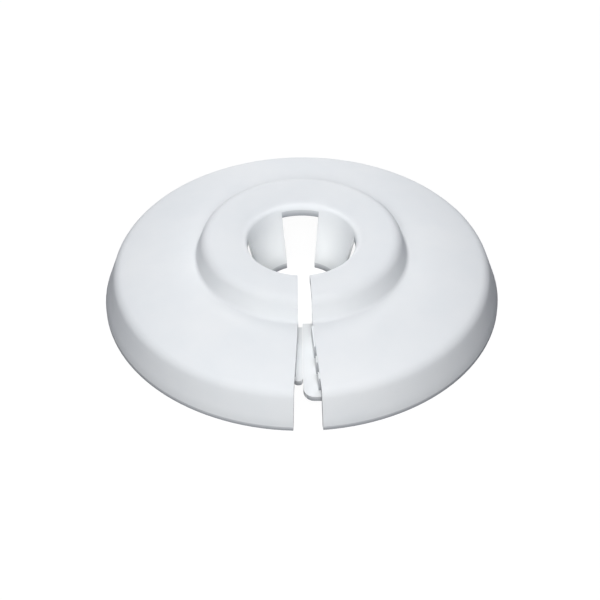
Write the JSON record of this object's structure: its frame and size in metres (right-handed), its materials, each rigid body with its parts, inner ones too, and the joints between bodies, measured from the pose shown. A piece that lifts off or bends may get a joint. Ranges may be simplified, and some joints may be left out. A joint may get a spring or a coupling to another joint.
{
  "type": "radiator pipe collar",
  "caption": "Split domed collar with a raised hub and spring tongues, which snaps round a radiator pipe and covers the hole where the pipe enters a floor or wall.",
  "frame": {"origin": "pipe axis at the plane of the rim's foot", "axes": "+Z along the pipe, out of the floor or wall; -Y towards the slit"},
  "size_m": [0.0578, 0.0577, 0.0108],
  "materials": {
    "white_plastic": "satin, as moulded"
  },
  "bodies": {
    "root": {"collar": "white_plastic"}
  },
  "joints": []
}
